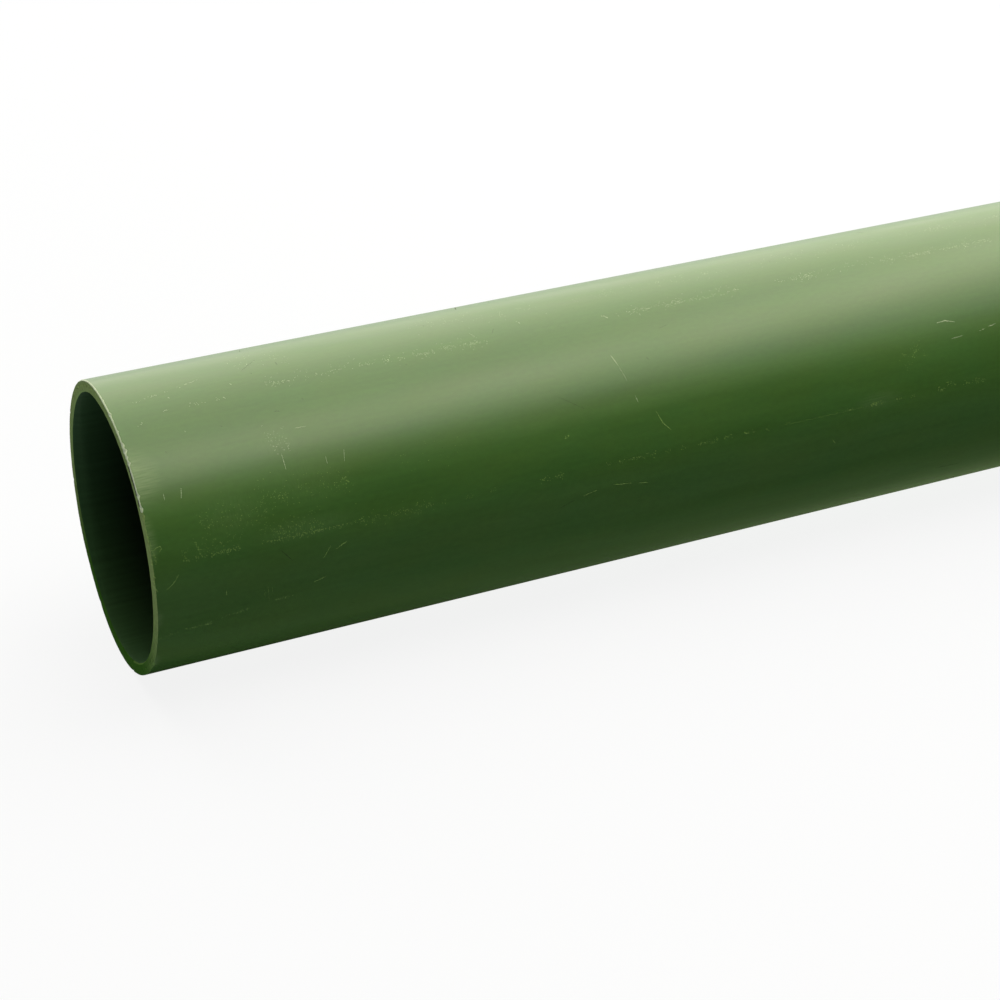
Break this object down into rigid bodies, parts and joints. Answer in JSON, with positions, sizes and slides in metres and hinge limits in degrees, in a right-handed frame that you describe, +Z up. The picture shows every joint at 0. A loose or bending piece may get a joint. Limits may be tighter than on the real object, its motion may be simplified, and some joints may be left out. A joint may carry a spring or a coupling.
{
  "type": "pvc conduit",
  "caption": "Straight length of rigid green PVC conduit with a plain round bore and square-sawn, deburred ends; it carries and protects electrical cables.",
  "frame": {"origin": "on the ground under the middle of the conduit, where its lowest line touches", "axes": "+X along the conduit, away from the sawn end that the picture shows; +Z up; +Y level, across the conduit"},
  "size_m": [3, 0.114, 0.1143],
  "materials": {
    "pvc": "satin as extruded, lightly scuffed, with paler sawn ends"
  },
  "bodies": {
    "root": {"conduit": "pvc"}
  },
  "joints": []
}
